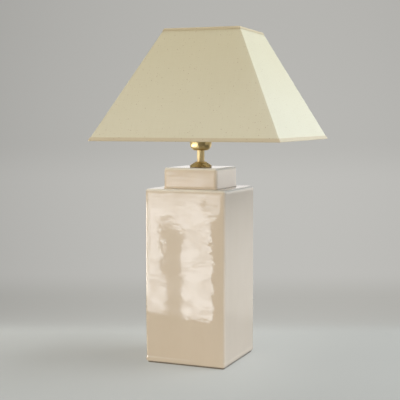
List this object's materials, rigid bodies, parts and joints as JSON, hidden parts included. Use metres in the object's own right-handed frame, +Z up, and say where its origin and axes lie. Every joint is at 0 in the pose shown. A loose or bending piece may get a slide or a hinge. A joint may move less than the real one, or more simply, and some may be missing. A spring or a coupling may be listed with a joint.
{
  "type": "table lamp",
  "caption": "Square glossy ceramic table lamp with a stepped neck, brass stem and lampholder, candle bulb and a square pyramid cloth shade that lifts and turns.",
  "frame": {"origin": "on the surface that the lamp stands on, under the middle of the ceramic body, on the stem axis", "axes": "+Z up along the stem, -Y out of the front face, +X to the right seen from the front"},
  "size_m": [0.3586, 0.3586, 0.6035],
  "materials": {
    "felt": "pressed wool felt",
    "glaze": "thick glossy cream-beige glaze with a wavy surface",
    "bushing_plastic": "moulded dark brown plastic",
    "zinc_steel": "zinc plated steel",
    "brass_inner": "bright brass",
    "rubber": "matt black rubber",
    "bush_plastic": "natural plastic",
    "satin_brass": "satin lacquered brass",
    "porcelain": "glazed porcelain",
    "solder": "dull solder",
    "bulb_black": "black vitreous insulator",
    "bulb_metal": "rolled thin metal",
    "bulb_glass": "opal glass",
    "bulb_stem_glass": "clear glass",
    "filament": "yellow coated filament sticks",
    "shade_cloth": "unbleached cotton cloth on a stiff white lining",
    "hem_cloth": "the same cloth rolled over the wire",
    "frame_wire": "white coated steel wire"
  },
  "bodies": {
    "root": {"base_felt": "felt", "ceramic_body": "glaze", "cord_bushing": "bushing_plastic", "cord_bushing_nut": "bushing_plastic", "threaded_tube": "zinc_steel", "bottom_nut": "zinc_steel", "bottom_lock_washer": "zinc_steel", "earth_lug": "brass_inner", "bottom_washer": "zinc_steel", "bottom_rubber_washer": "rubber", "neck_bush": "bush_plastic", "top_gasket": "rubber", "vase_cap": "satin_brass", "neck_tube": "satin_brass", "holder_cap": "satin_brass", "holder_grub_screw": "zinc_steel", "holder_insert": "porcelain", "screw_shell": "brass_inner", "centre_contact": "brass_inner", "shell_contact": "brass_inner", "terminal_screws": "zinc_steel", "holder_skirt": "satin_brass", "lower_shade_ring": "satin_brass"},
    "shade_ring": {"upper_shade_ring": "satin_brass"},
    "shade": {"shade_panel_front": "shade_cloth", "shade_panel_right": "shade_cloth", "shade_panel_back": "shade_cloth", "shade_panel_left": "shade_cloth", "top_trim": "hem_cloth", "bottom_trim": "hem_cloth", "frame_top_ring": "frame_wire", "frame_bottom_ring": "frame_wire", "frame_ribs": "frame_wire", "fitter_arms": "frame_wire", "fitter_ring": "frame_wire"},
    "bulb_carriage": {"bulb_tip": "solder", "bulb_insulator": "bulb_black"},
    "bulb": {"bulb_cap": "bulb_metal", "bulb_glass": "bulb_glass", "bulb_stem": "bulb_stem_glass", "bulb_filament": "filament"}
  },
  "joints": [
    {"name": "shade_lift", "type": "slide", "parent": "root", "child": "shade_ring", "axis": [0, 0, 1], "range_m": [0, 0.15]},
    {"name": "shade_turn", "type": "hinge", "parent": "shade_ring", "child": "shade", "pos_m": [0, 0, 0.4285], "axis": [0, 0, 1], "continuous": true},
    {"name": "bulb_rise", "type": "slide", "parent": "root", "child": "bulb_carriage", "axis": [0, 0, 1], "range_m": [0, 0.02]},
    {"name": "bulb_turn", "type": "hinge", "parent": "bulb_carriage", "child": "bulb", "pos_m": [0, 0, 0.4208], "axis": [0, 0, 1], "range_deg": [0, 1980]}
  ],
  "couplings": [
    {"joint": "bulb_rise", "follows": "bulb_turn", "m_per_rad": 0.00057757}
  ]
}
